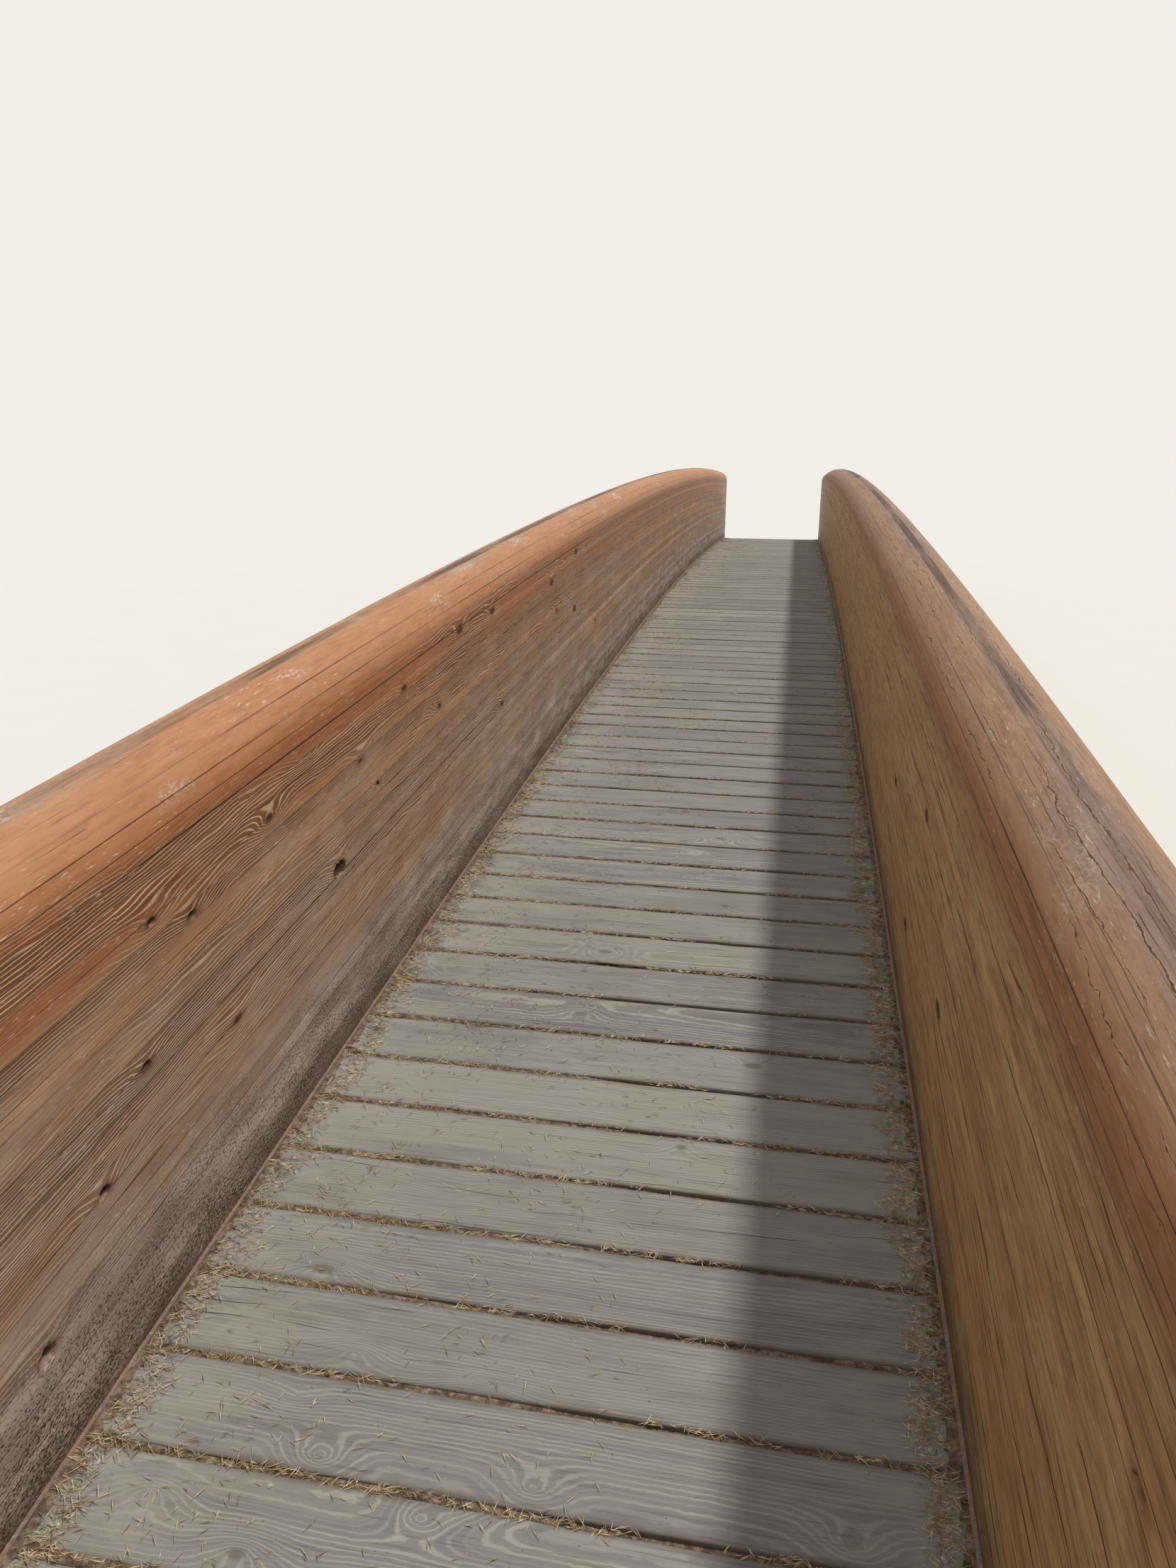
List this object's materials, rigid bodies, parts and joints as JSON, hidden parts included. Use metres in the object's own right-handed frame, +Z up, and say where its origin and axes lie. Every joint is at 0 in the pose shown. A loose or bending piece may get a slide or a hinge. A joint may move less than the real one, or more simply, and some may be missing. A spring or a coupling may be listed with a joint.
{
  "type": "arched timber footbridge",
  "caption": "Gently arched footbridge: two deep laminated timber girders with rounded tops are its parapets, either side of a deck of cross planks.",
  "frame": {"origin": "on the ground, at the middle of the bridge's length and width", "axes": "+Y along the bridge towards its far end, +Z up, +X to the right of someone who walks towards +Y"},
  "size_m": [2.285, 20.5676, 1.971],
  "materials": {
    "glulam_timber": "weathered orange-brown stain on laminated softwood",
    "deck_timber": "bare, weathered grey",
    "rusted_steel": "bare rolled steel with an even coat of rust",
    "shoe_steel": "galvanised, dull",
    "concrete": "cast concrete with board marks"
  },
  "bodies": {
    "root": {"girder_left": "glulam_timber", "girder_right": "glulam_timber", "ledger_angle_left_1": "rusted_steel", "ledger_angle_left_2": "rusted_steel", "ledger_angle_left_3": "rusted_steel", "ledger_angle_left_4": "rusted_steel", "ledger_angle_right_1": "rusted_steel", "ledger_angle_right_2": "rusted_steel", "ledger_angle_right_3": "rusted_steel", "ledger_angle_right_4": "rusted_steel", "deck_bay_1": "deck_timber", "deck_bay_2": "deck_timber", "deck_bay_3": "deck_timber", "deck_bay_4": "deck_timber", "deck_bay_5": "deck_timber", "deck_bay_6": "deck_timber", "deck_bay_7": "deck_timber", "deck_bay_8": "deck_timber", "cross_beam_1": "rusted_steel", "cross_beam_2": "rusted_steel", "cross_beam_3": "rusted_steel", "cross_beam_4": "rusted_steel", "cross_beam_5": "rusted_steel", "cross_beam_6": "rusted_steel", "cross_beam_7": "rusted_steel", "cross_beam_8": "rusted_steel", "cross_beam_9": "rusted_steel", "bearing_shoe_left_near": "shoe_steel", "bearing_shoe_left_far": "shoe_steel", "bearing_shoe_right_near": "shoe_steel", "bearing_shoe_right_far": "shoe_steel", "sill_near": "concrete", "sill_far": "concrete"}
  },
  "joints": []
}
